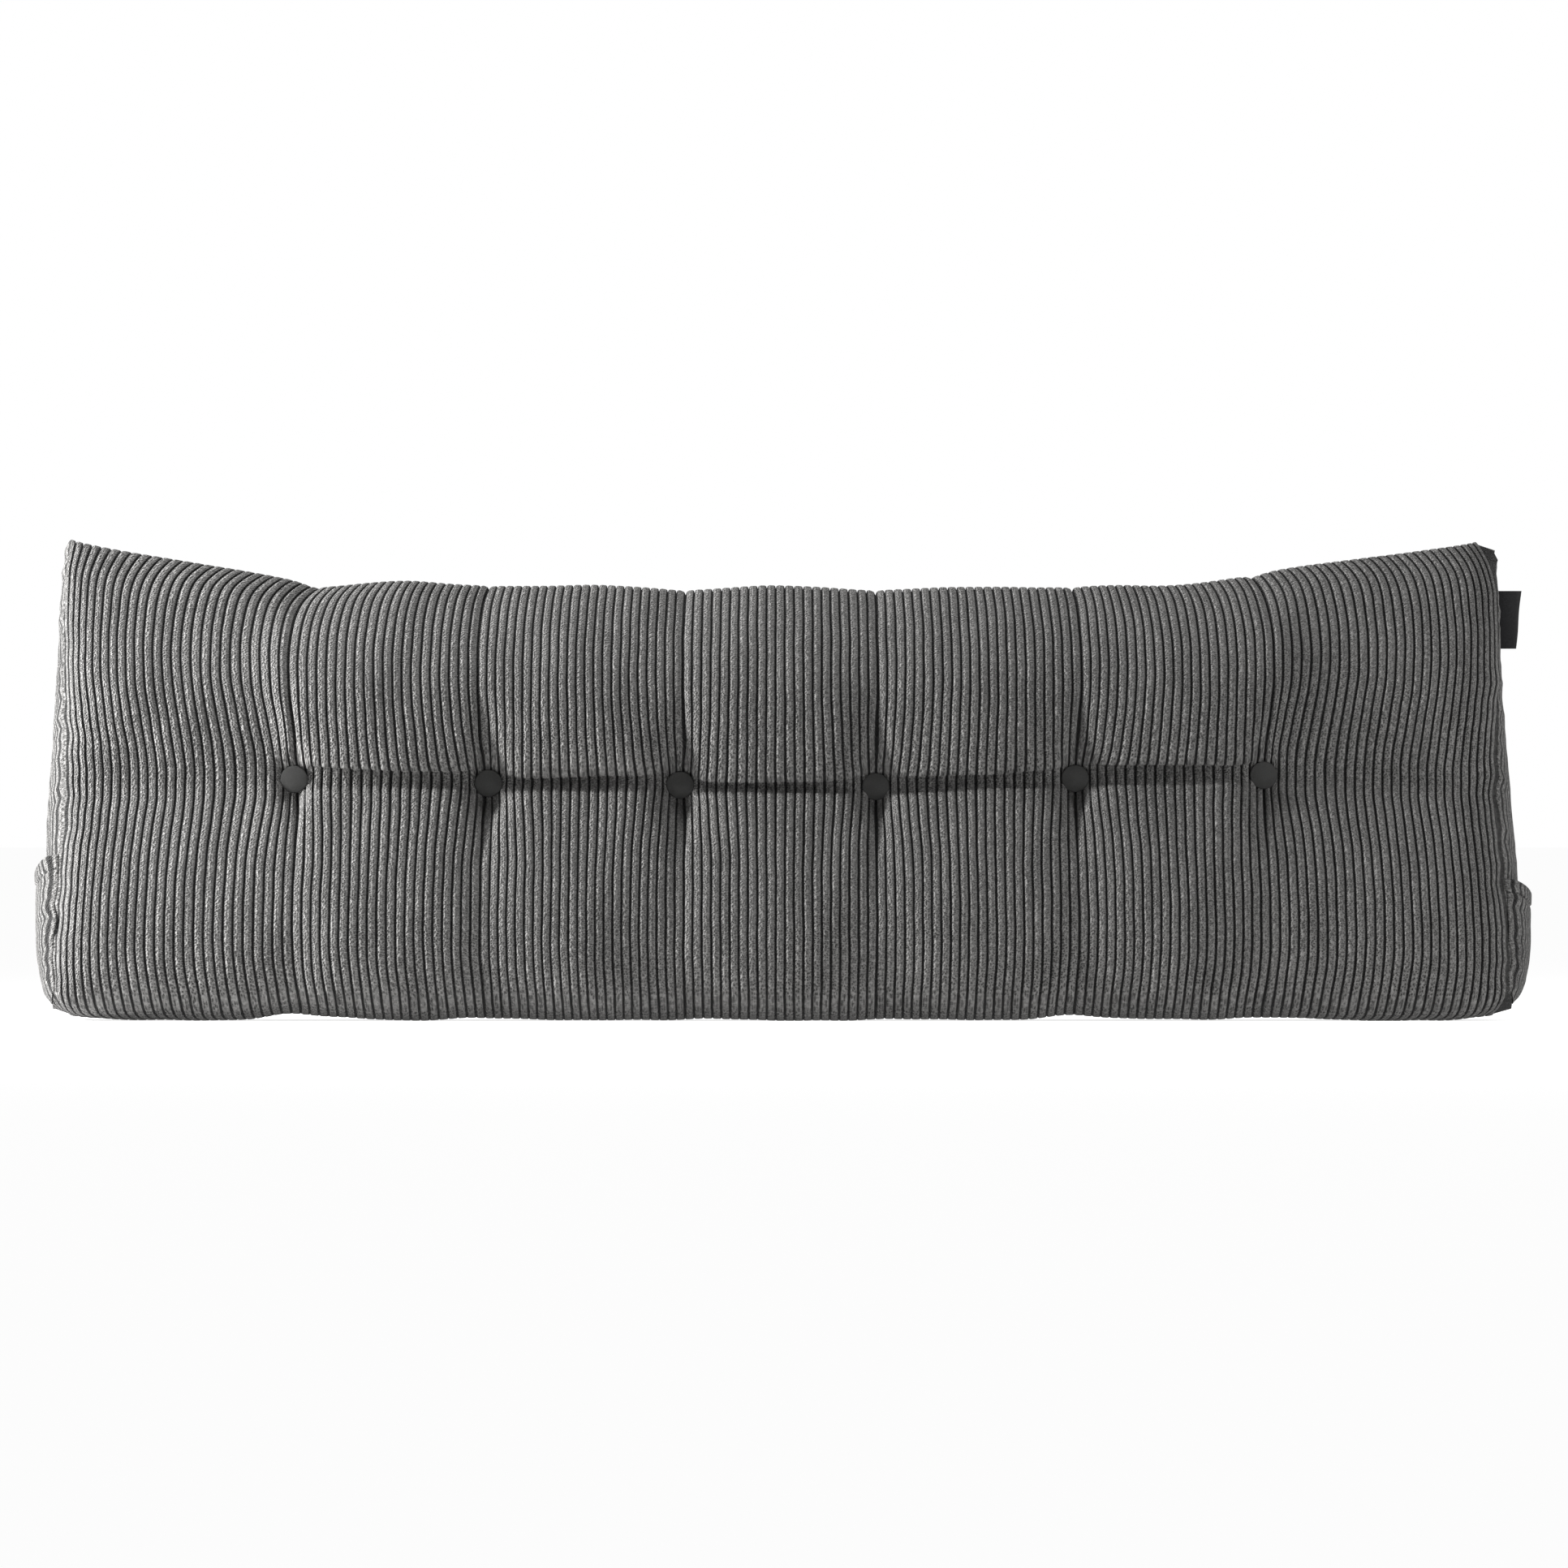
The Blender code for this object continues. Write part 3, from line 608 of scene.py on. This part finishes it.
def cover_points(u):
    """The cover's smooth points, row by row round the section, folded at its tufts, gathered at its seams."""
    rows = np.array([row_points(u, row) for row in ROWS])
    points = round_section(rows, [row.steps for row in ROWS])
    normal = outward(points)
    x, y, z = points[..., 0], points[..., 1], points[..., 2]
    on_front = np.clip((-y - FRONT_FADE) / FRONT_FADE, 0, 1)
    folds = sum(np.exp(-np.abs((u - t.fold) / FOLD_WALES) ** FOLD_STEEP) for t in TUFTS)
    depth = mesh_rows([row.fold for row in ROWS])
    points -= normal * (depth[:, None] * folds)[..., None]
    for side, wales_in in from_ends(u):
        near = np.exp(-((wales_in / GATHER_WALES) ** 1.3)) * on_front
        along, deep = seam_gather(z + wales_in * GATHER_SLANT, side)
        points[..., 0] += near * along
        points[..., 1] += near * deep
    wrinkle = ripples(x, z, WRINKLE_SIZES, 23)
    points += normal * (WRINKLE * on_front * wrinkle)[..., None]
    wander = ripples(x, z, WANDER_SIZES, 29)
    points[..., 0] += WANDER * on_front * wander
    return points


def cover_mesh():
    """The filled cushion's cover: wales raised on the loft, closed by two end panels."""
    u = wale_places(WALES)
    smooth = cover_points(u)
    height = WALE_HEIGHT * (BASE_RIBS + (1 - BASE_RIBS) * np.clip(smooth[..., 2:] / BASE_FADE, 0, 1))
    points = smooth + outward(smooth) * height * (wale_rise(u) - 1)[None, :, None]
    points[..., 2] = np.maximum(points[..., 2], 0.0)
    bm = ribbed_bmesh()
    verts = add_grid(bm, points, wrap=True)
    painted_end_shade = sum(PAINTED_END_SHADE[side] * np.clip(1 - wales_in / PAINTED_END_SHADE_WALES, 0, 1) for side, wales_in in from_ends(u))
    set_wales(bm, verts, u, painted_end_shade)
    for side, k in ((-1, 0), (1, -1)):
        end_panel(bm, [line[k] for line in verts], side)
    bmesh.ops.recalc_face_normals(bm, faces=bm.faces)
    return finish_mesh(bm, "cushion_cover")


def finish_mesh(bm, name):
    """The finished, smooth-shaded mesh."""
    mesh = bpy.data.meshes.new(name)
    bm.to_mesh(mesh)
    bm.free()
    mesh.shade_smooth()
    return mesh


def add_piece(name, mesh, material, node):
    """Places a piece in the frame and puts it in the stead of the solid that it stands for."""
    obj = bpy.data.objects.new(name, mesh)
    mesh.materials.append(material)
    bpy.context.scene.collection.objects.link(obj)
    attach(obj, "root")
    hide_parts(node)
    return obj


def mouth_z(pocket, y):
    """The height of a pocket's mouth at depth y."""
    front = front_seam_y(pocket.mouth_z)
    across = np.clip((y - front) / (POCKET_BACK - front), 0, 1)
    return pocket.mouth_z - pocket.sag * np.sin(math.pi * across)


def stand_off(pocket, y, z):
    """The hollow between the pocket's cloth and the end panel: none at the sewn edges, full at the mouth."""
    from_front = np.clip(y - front_seam_y(z) - EASE_START, 0, 1)
    from_back = np.clip(POCKET_BACK - y, 0, 1)
    from_bottom = np.clip(z - POCKET_BOTTOM, 0, 1)
    full = (1 - np.exp(-from_front / EASE_SIDE)) * (1 - np.exp(-from_back / EASE_SIDE))
    return pocket.stand_off * full * (1 - np.exp(-from_bottom / EASE_BOTTOM))


def step(value, width):
    """A soft step from 0 to 1 where value passes 0."""
    return 1 / (1 + np.exp(-np.clip(value / width, -40, 40)))


def pocket_thickness(places, below, sewn):
    """A pocket's thickness: its cloth, hem and wales, thin at the mouth's lip and at the sewn edges.

    places: in wales. below and sewn: how far each point lies under the mouth and inside the sewn edges.
    """
    hem = step(HEM - below, HEM_EDGE)
    stitched = np.exp(-(((below - HEM) / STITCH_WIDE) ** 2))
    flare = HEM_FLARE * hem * (1 - np.clip(below / HEM, 0, 1))
    body = CLOTH + HEM_THICK * hem + flare - STITCH_DEEP * stitched
    ribs = WALE_HEIGHT * POCKET_RIBS * wale_rise(places) * (1 - STITCH_FLAT * stitched)
    lip = np.sqrt(1 - (1 - np.clip(below / LIP, 0, 1)) ** 2)
    seam = SEWN_SHARE + (1 - SEWN_SHARE) * (1 - (1 - np.clip(sewn / POCKET_RISE, 0, 1)) ** 2)
    return (body + ribs) * (LIP_SHARE + (1 - LIP_SHARE) * lip) * seam


def pocket_mesh(pocket):
    """A closed sheet: ribbed outside, plain inside, with a thicker hem at its mouth."""
    foot_y = front_seam_y(POCKET_BOTTOM)
    wide = POCKET_BACK - foot_y - POCKET_INSET
    places = wale_places(round(wide / WALE_PITCH))
    behind = POCKET_INSET + wide * places / places[-1]
    # The mouth's height and depth depend on each other, so a first guess of the depth is bettered six times
    y = POCKET_BACK - (wide - behind + POCKET_INSET) * 0.86
    for _ in range(6):
        mouth = mouth_z(pocket, y)
        y = np.minimum(front_seam_y(mouth) + behind, POCKET_BACK)
    top = np.minimum(mouth, front_seam_z(POCKET_BACK - behind))
    rows = 1 - (1 - np.linspace(0, 1, POCKET_ROWS)) ** POCKET_CROWDING
    bottom = np.maximum(turned_seam_z(foot_y + behind) + POCKET_CORNER, POCKET_BOTTOM)
    z = bottom + (top - bottom) * rows[:, None]
    depth = np.minimum(front_seam_y(z) + behind, POCKET_BACK) + 0.0005 * waves(z, (0.08, 0.05), 7)
    below = mouth - z
    sewn = np.minimum.reduce([behind + 0 * z, POCKET_BACK - depth, z - bottom]) - POCKET_INSET
    x = end_x(depth, z, pocket.side) + SEAT_GAP + stand_off(pocket, depth, z)
    inside = np.stack([pocket.side * x, depth, z], axis=2)
    thick = pocket_thickness(places + END_START, below, sewn)
    outside = inside + grid_normals(inside, pocket.side) * thick[..., None]
    bm = ribbed_bmesh()
    out_verts = add_grid(bm, outside, flip=pocket.side < 0)
    in_verts = add_grid(bm, inside, flip=pocket.side > 0)
    painted_end_shade = np.full_like(places, PAINTED_END_SHADE[pocket.side])
    set_wales(bm, out_verts, places + END_START, painted_end_shade, below)
    set_wales(bm, in_verts, np.full_like(places, 0.5), painted_end_shade)
    join_rims(bm, out_verts, in_verts)
    return finish_mesh(bm, pocket.name)


def lathe(name, profile, steps):
    """A closed turned mesh from (radius, height, painted rim shade) triples, first and last on the axis."""
    bm = bmesh.new()
    layer = bm.verts.layers.float.new("painted_rim_shade")
    rings = []
    for radius, height, painted_rim_shade in profile:
        count = steps if radius > 0 else 1
        ring = []
        for k in range(count):
            angle = 2 * math.pi * k / count
            vert = bm.verts.new((radius * math.cos(angle), radius * math.sin(angle), height))
            vert[layer] = painted_rim_shade
            ring.append(vert)
        rings.append(ring)
    for low, high in zip(rings, rings[1:]):
        for k in range(steps):
            n = (k + 1) % steps
            corners = [low[k % len(low)], low[n % len(low)], high[n % len(high)], high[k % len(high)]]
            bm.faces.new(list(dict.fromkeys(corners)))
    bmesh.ops.recalc_face_normals(bm, faces=bm.faces)
    return finish_mesh(bm, name)


def add_buttons(material):
    """Cloth-covered buttons: flat discs with a tight turned edge, each where its solid is."""
    face = [(share, BUTTON_WALL + BUTTON_DOME * (1 - share**2), 0) for share in BUTTON_FACE_SHARES]
    profile = [(BUTTON_RADIUS * share, height, painted_rim_shade) for share, height, painted_rim_shade in BUTTON_EDGE + face]
    for number, tuft in enumerate(TUFTS, start=1):
        node = f"button_{number}"
        mesh = lathe(f"covered_{node}", profile, BUTTON_STEPS)
        mesh.transform(Matrix.Rotation(math.radians(90), 4, "X"))
        mesh.transform(Matrix.Translation((tuft.x, BUTTON_BACK_Y, tuft.z)))
        add_piece(f"covered_{node}", move_to_frame(mesh), material, node)


def label_mesh():
    """A folded tape that stands out of the rear seam of the right end panel."""
    up = np.linspace(0, 1, LABEL_ROWS)[:, None]
    out = np.linspace(0, 1, LABEL_COLUMNS)[None, :]
    low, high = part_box("label")
    z = LABEL_BOTTOM + (LABEL_TOP - LABEL_BOTTOM) * up + 0 * out
    width = LABEL_WIDE + LABEL_SPREAD * up + LABEL_WAVER * np.sin(up * 7)
    x = low[0] + LABEL_ROOT + width * out
    bend = -LABEL_BEND * np.sin(math.pi * out) - LABEL_CURL * (1 - up) * out**2
    at_edge = np.clip((out - LABEL_EDGE) / (1 - LABEL_EDGE), 0, 1)
    thick = LABEL_THICK / 2 * np.sqrt(np.clip(1 - at_edge**2, 0.02, 1))
    middle = (low[1] + high[1]) / 2 + bend
    bm = bmesh.new()
    front = add_grid(bm, np.stack([x, middle - thick, z], axis=2))
    back = add_grid(bm, np.stack([x, middle + thick, z], axis=2), flip=True)
    join_rims(bm, front, back)
    mesh = finish_mesh(bm, "bare_tag")
    mesh.set_sharp_from_angle(angle=math.radians(50))
    return mesh


class Nodes:
    """Short calls for building one material's node tree."""

    def __init__(self, name):
        self.material = bpy.data.materials.new(name)
        self.material.use_nodes = True
        self.tree = self.material.node_tree
        self.shader = self.tree.nodes["Principled BSDF"]

    def link(self, source, socket):
        """Feeds a socket from another socket, or gives it a plain value."""
        if isinstance(source, (int, float, tuple)):
            socket.default_value = source
        else:
            self.tree.links.new(source, socket)

    def node(self, kind, **values):
        """Adds a node with these settings."""
        made = self.tree.nodes.new(kind)
        for key, value in values.items():
            setattr(made, key, value)
        return made

    def math(self, operation, *values):
        """One sum on one or two values."""
        made = self.node("ShaderNodeMath", operation=operation)
        for value, socket in zip(values, made.inputs):
            self.link(value, socket)
        return made.outputs[0]

    def ramp(self, value, low, high, out_low=0.0, out_high=1.0):
        """A smooth step from low to high."""
        made = self.node("ShaderNodeMapRange", interpolation_type="SMOOTHSTEP")
        for source, socket in zip((value, low, high, out_low, out_high), made.inputs):
            self.link(source, socket)
        return made.outputs[0]

    def place(self, scale=(1, 1, 1)):
        """Places in metres, stretched by scale."""
        made = self.node("ShaderNodeMapping")
        self.link(self.node("ShaderNodeTexCoord").outputs["Object"], made.inputs["Vector"])
        self.link(scale, made.inputs["Scale"])
        return made.outputs[0]

    def noise(self, place, scale, detail=2.0, rough=0.5):
        """Soft noise, scale cells to a metre."""
        made = self.node("ShaderNodeTexNoise")
        self.link(place, made.inputs["Vector"])
        self.link(scale, made.inputs["Scale"])
        self.link(detail, made.inputs["Detail"])
        self.link(rough, made.inputs["Roughness"])
        return made.outputs["Fac"]

    def grains(self, across, along, scale, uneven):
        """Distance from the nearest grain's middle, on a cloth with these places across and along it."""
        place = self.node("ShaderNodeCombineXYZ")
        self.link(across, place.inputs["X"])
        self.link(along, place.inputs["Y"])
        made = self.node("ShaderNodeTexVoronoi", voronoi_dimensions="2D")
        self.link(place.outputs[0], made.inputs["Vector"])
        self.link(scale, made.inputs["Scale"])
        self.link(uneven, made.inputs["Randomness"])
        return made.outputs["Distance"]

    def blend(self, share, first, second):
        """This share of the second colour over the first."""
        made = self.node("ShaderNodeMix", data_type="RGBA", blend_type="MIX")
        self.link(share, made.inputs["Factor"])
        self.link(first, made.inputs[6])
        self.link(second, made.inputs[7])
        return made.outputs[2]

    def bump(self, height, distance, strength, under=None):
        """A normal raised by height, times distance in metres, over the one under it."""
        made = self.node("ShaderNodeBump")
        self.link(height, made.inputs["Height"])
        self.link(distance, made.inputs["Distance"])
        self.link(strength, made.inputs["Strength"])
        if under is not None:
            self.link(under, made.inputs["Normal"])
        return made.outputs[0]

    def surface(self, colour, roughness, normal, sheen, sheen_rough, tint):
        """Joins everything to the shader and returns the material."""
        self.link(colour, self.shader.inputs["Base Color"])
        self.link(roughness, self.shader.inputs["Roughness"])
        self.link(normal, self.shader.inputs["Normal"])
        self.shader.inputs["Sheen Weight"].default_value = sheen
        self.shader.inputs["Sheen Roughness"].default_value = sheen_rough
        self.shader.inputs["Sheen Tint"].default_value = (*tint, 1)
        self.shader.inputs["Specular IOR Level"].default_value = 0.25
        return self.material


def corduroy():
    """Dense cut pile on each wale; in the grooves between, the bare dark ground with painted shade over it.
    """
    n = Nodes("corduroy_pile")
    wale = n.node("ShaderNodeAttribute", attribute_name="wale").outputs["Fac"]
    off = n.math("ABSOLUTE", n.math("SUBTRACT", n.math("MULTIPLY", n.math("FRACT", wale), 2.0), 1.0))
    painted_end_shade = n.node("ShaderNodeAttribute", attribute_name="painted_end_shade").outputs["Fac"]
    # Painted shade near the ends widens the grooves' dark
    low = n.math("SUBTRACT", 0.60, n.math("MULTIPLY", painted_end_shade, 0.18))
    # groove: 1 in the grooves, where the bare ground's own dark colour and painted groove shade go
    groove = n.ramp(off, low, n.math("ADD", low, 0.18))
    below = n.node("ShaderNodeAttribute", attribute_name="below_mouth").outputs["Fac"]
    from_hem = n.math("ABSOLUTE", n.math("SUBTRACT", below, HEM))
    along = n.node("ShaderNodeSeparateXYZ")
    n.link(n.place(), along.inputs[0])
    dash = n.math("SINE", n.math("MULTIPLY", along.outputs["Y"], 2 * math.pi / STITCH))
    stitch = n.math("MULTIPLY", n.ramp(from_hem, 0.0005, 0.0011, 1.0, 0.0), n.ramp(dash, -0.6, -0.2))
    shade = n.noise(n.place(), 5.0, 3.0)
    brushed = n.noise(n.place((26, 20, 7)), 1.0, 3.0)
    streak = n.noise(n.place((90, 40, 9)), 1.0, 3.0)
    patch = n.noise(n.place(), 22.0, 2.0)
    up = n.math("ADD", along.outputs["Y"], along.outputs["Z"])
    grain = n.grains(n.math("MULTIPLY", wale, WALE_PITCH), up, 400.0, 0.7)
    fleck = n.noise(n.place(), 300.0, 1.0)
    fibre = n.noise(n.place(), 1500.0, 2.0, 0.6)
    pile = n.blend(n.ramp(shade, 0.3, 0.7), PILE_DARK, PILE_LIGHT)
    pile = n.blend(n.ramp(brushed, 0.54, 0.74, 0.0, 0.55), pile, BRUSHED_DOWN)
    pile = n.blend(n.ramp(streak, 0.35, 0.70, 0.0, 0.7), pile, BRUSHED_UP)
    pits = n.math("MULTIPLY", n.ramp(grain, 0.18, 0.46, 1.0, 0.0), n.ramp(patch, 0.25, 0.70, 0.55, 1.0))
    pile = n.blend(pits, pile, PIT)
    pile = n.blend(n.ramp(fleck, 0.52, 0.66, 0.0, 0.42), pile, DARK_FLECK)
    pile = n.blend(n.ramp(fleck, 0.34, 0.48, 0.38, 0.0), pile, PALE_FLECK)
    pile = n.blend(n.ramp(fibre, 0.50, 0.72, 0.0, 0.50), pile, PALE_FIBRE)
    # Painted light: the far half of each wale is lightened
    painted_light_side = n.ramp(n.math("FRACT", wale), 0.50, 0.85, 0.0, 0.22)
    pile = n.blend(painted_light_side, pile, PAINTED_LIGHT_SIDE)
    # Painted shade: the pile on and near the end panels is darkened
    pile = n.blend(n.math("MULTIPLY", painted_end_shade, 0.12), pile, PAINTED_SHADE_BLACK)
    # The grooves: the bare ground's dark colour, deepened and widened as painted shade
    colour = n.blend(n.math("MULTIPLY", groove, 0.96), pile, GROUND_AND_GROOVE_SHADE)
    colour = n.blend(stitch, colour, THREAD)
    rough = n.ramp(fibre, 0.2, 0.8, 0.80, 0.95)
    pebbles = n.bump(grain, 0.0022, 1.0)
    normal = n.bump(fibre, 0.0003, 0.6, pebbles)
    return n.surface(colour, rough, normal, 0.15, 0.40, (0.80, 0.79, 0.78))


def button_cloth():
    """Plain tight weave, with painted shade where it turns over the rim."""
    n = Nodes("button_weave")
    painted_rim_shade = n.node("ShaderNodeAttribute", attribute_name="painted_rim_shade").outputs["Fac"]
    weave = n.noise(n.place(), 900.0, 2.0)
    shade = n.noise(n.place(), 60.0, 2.0)
    colour = n.blend(n.ramp(shade, 0.3, 0.7), (0.030, 0.030, 0.029, 1), (0.038, 0.038, 0.037, 1))
    colour = n.blend(n.ramp(weave, 0.4, 0.7, 0.0, 0.35), colour, (0.055, 0.054, 0.053, 1))
    # Painted shade at the rim: the turned edge is darkened toward black
    colour = n.blend(n.math("MULTIPLY", painted_rim_shade, 0.9), colour, (0.010, 0.010, 0.010, 1))
    normal = n.bump(weave, 0.0002, 0.6)
    return n.surface(colour, 0.85, normal, 0.15, 0.5, (0.7, 0.7, 0.7))


def tape():
    """Black woven ribbon with fine cross ribs."""
    n = Nodes("black_tape")
    wave = n.node("ShaderNodeTexWave", bands_direction="Z")
    n.link(n.place(), wave.inputs["Vector"])
    wave.inputs["Scale"].default_value = 330.0
    ribs = wave.outputs["Fac"]
    fibre = n.noise(n.place(), 1300.0, 2.0)
    colour = n.blend(n.ramp(fibre, 0.4, 0.8), (0.006, 0.006, 0.007, 1), (0.020, 0.020, 0.022, 1))
    normal = n.bump(ribs, 0.0002, 0.5, n.bump(fibre, 0.0002, 0.4))
    return n.surface(colour, 0.6, normal, 0.15, 0.5, (0.6, 0.6, 0.6))


def add_light(light):
    """One rectangle of soft light."""
    area = bpy.data.lights.new(light.name, "AREA")
    area.shape = "RECTANGLE"
    area.size, area.size_y = light.size
    area.energy = light.watts
    obj = bpy.data.objects.new(light.name, area)
    bpy.context.scene.collection.objects.link(obj)
    obj.location = light.place
    toward = Vector(light.target) - Vector(light.place)
    obj.rotation_euler = toward.to_track_quat("-Z", "Y").to_euler()


def seen_and_lit(tree, seen, lit):
    """One strength where the camera looks, another as a light."""
    path = tree.nodes.new("ShaderNodeLightPath")
    strength = tree.nodes.new("ShaderNodeMapRange")
    tree.links.new(path.outputs["Is Camera Ray"], strength.inputs["Value"])
    strength.inputs["To Min"].default_value = lit
    strength.inputs["To Max"].default_value = seen
    return strength.outputs[0]


def add_world(seen, lit):
    """White surroundings."""
    world = bpy.data.worlds.new("studio")
    bpy.context.scene.world = world
    world.use_nodes = True
    tree = world.node_tree
    background = tree.nodes["Background"]
    background.inputs["Color"].default_value = (1, 1, 1, 1)
    tree.links.new(seen_and_lit(tree, seen, lit), background.inputs["Strength"])


def add_floor(seen, lit):
    """A wide pale floor."""
    bm = bmesh.new()
    bmesh.ops.create_circle(bm, cap_ends=True, segments=96, radius=FLOOR_RADIUS)
    mesh = finish_mesh(bm, "floor")
    n = Nodes("floor_white")
    n.shader.inputs["Base Color"].default_value = (0.6, 0.6, 0.6, 1)
    n.shader.inputs["Roughness"].default_value = 0.9
    n.shader.inputs["Specular IOR Level"].default_value = 0.0
    n.shader.inputs["Emission Color"].default_value = (1, 1, 1, 1)
    n.link(seen_and_lit(n.tree, seen, lit), n.shader.inputs["Emission Strength"])
    mesh.materials.append(n.material)
    floor = bpy.data.objects.new("floor", mesh)
    bpy.context.scene.collection.objects.link(floor)


def add_camera():
    """A level camera, far off, that frames what the photograph frames."""
    camera = bpy.data.cameras.new("camera")
    camera.sensor_width = 36
    camera.lens = 36 * CAMERA_DISTANCE / (PHOTO_PIXELS * PIXEL)
    camera.clip_end = 200
    obj = bpy.data.objects.new("camera", camera)
    x = (PHOTO_PIXELS / 2 - PHOTO_X) * PIXEL
    z = (PHOTO_BASE - PHOTO_PIXELS / 2) * PIXEL
    obj.location = (x, -CAMERA_DISTANCE, z)
    obj.rotation_euler = (math.radians(90), 0, 0)
    bpy.context.scene.collection.objects.link(obj)
    bpy.context.scene.camera = obj


def move_to_frame(mesh):
    """From the section's own places to the frame, where the part is centred on X and Y."""
    low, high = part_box("button_1")
    x = (low[0] + high[0]) / 2 - TUFTS[0].x
    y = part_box("cushion")[1][1] - BACK_Y
    mesh.transform(Matrix.Translation((x, y, 0)))
    return mesh


def main():
    """Dresses every node, then sets up the light, the floor and the camera."""
    cloth = corduroy()
    cover = add_piece("cushion_cover", move_to_frame(cover_mesh()), cloth, "cushion")
    for pocket in POCKETS:
        mesh = move_to_frame(pocket_mesh(pocket))
        piece = add_piece(f"{pocket.name}_cloth", mesh, cloth, pocket.name)
    add_buttons(button_cloth())
    tag = add_piece("bare_tag", label_mesh(), tape(), "label")
    add_world(WORLD_SEEN, WORLD_LIT)
    for light in LIGHTS:
        add_light(light)
    add_floor(FLOOR_SEEN, FLOOR_LIT)
    add_camera()
    bpy.context.scene.view_settings.view_transform = "Standard"


main()
